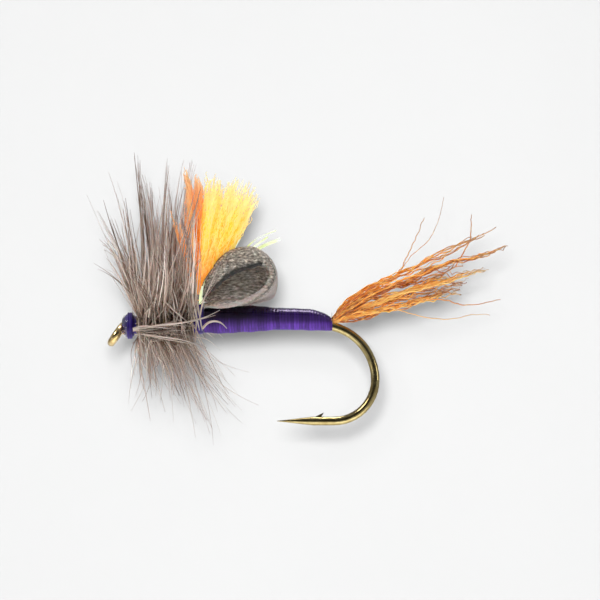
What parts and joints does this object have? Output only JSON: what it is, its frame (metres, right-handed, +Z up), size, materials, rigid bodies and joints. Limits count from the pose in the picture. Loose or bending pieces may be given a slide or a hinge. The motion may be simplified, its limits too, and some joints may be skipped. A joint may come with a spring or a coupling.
{
  "type": "dry fly",
  "caption": "Cripple-style dry fly: wound purple body on a barbed down-eye hook, dun hackle, folded foam wing case, upright yarn wing and trailing yarn tail.",
  "frame": {"origin": "centre of the hook's eye", "axes": "+X along the hook shank from the eye towards the bend, +Z up with the hook point below the shank; the hook is symmetric about the plane Y = 0"},
  "size_m": [0.0182, 0.0131, 0.013],
  "materials": {
    "hook_wire": "bronzed, polished, gold where it catches the light",
    "tying_thread": "waxed purple multifilament thread, low sheen",
    "abdomen_floss": "purple floss wound in close turns, satin",
    "clear_coat": "clear high-gloss varnish",
    "tail_yarn": "crinkled amber synthetic yarn, translucent with a sheen",
    "wing_yarn_orange": "fluffy orange synthetic yarn",
    "wing_yarn_yellow": "fluffy golden-yellow synthetic yarn",
    "pearl_flash": "pearlescent film, pale yellow-green",
    "foam": "closed-cell foam sheet, matt with a flecked skin",
    "dubbing": "coarse brown-grey dubbed fur with a few bright flecks",
    "hackle_quill": "dun feather quill, satin",
    "hackle_fibre": "brown-grey dun feather barbs, soft sheen"
  },
  "bodies": {
    "root": {"hook": "hook_wire", "thread_base": "tying_thread", "tail_yarn_butt": "tail_yarn", "tail_yarn": "tail_yarn", "tail_tie_wraps": "tying_thread", "abdomen_floss": "abdomen_floss", "abdomen_varnish": "clear_coat", "wing_yarn_butt": "wing_yarn_yellow", "wing_yarn_orange": "wing_yarn_orange", "wing_yarn_yellow": "wing_yarn_yellow", "wing_post_wraps": "tying_thread", "pearl_flash": "pearl_flash", "foam_loop": "foam", "foam_tie_wraps": "tying_thread", "thorax_dubbing": "dubbing", "hackle_stem": "hackle_quill", "hackle_fibres": "hackle_fibre", "hackle_tie_off": "tying_thread", "head_wraps": "tying_thread", "head_cement": "clear_coat", "whip_finish": "tying_thread"}
  },
  "joints": []
}
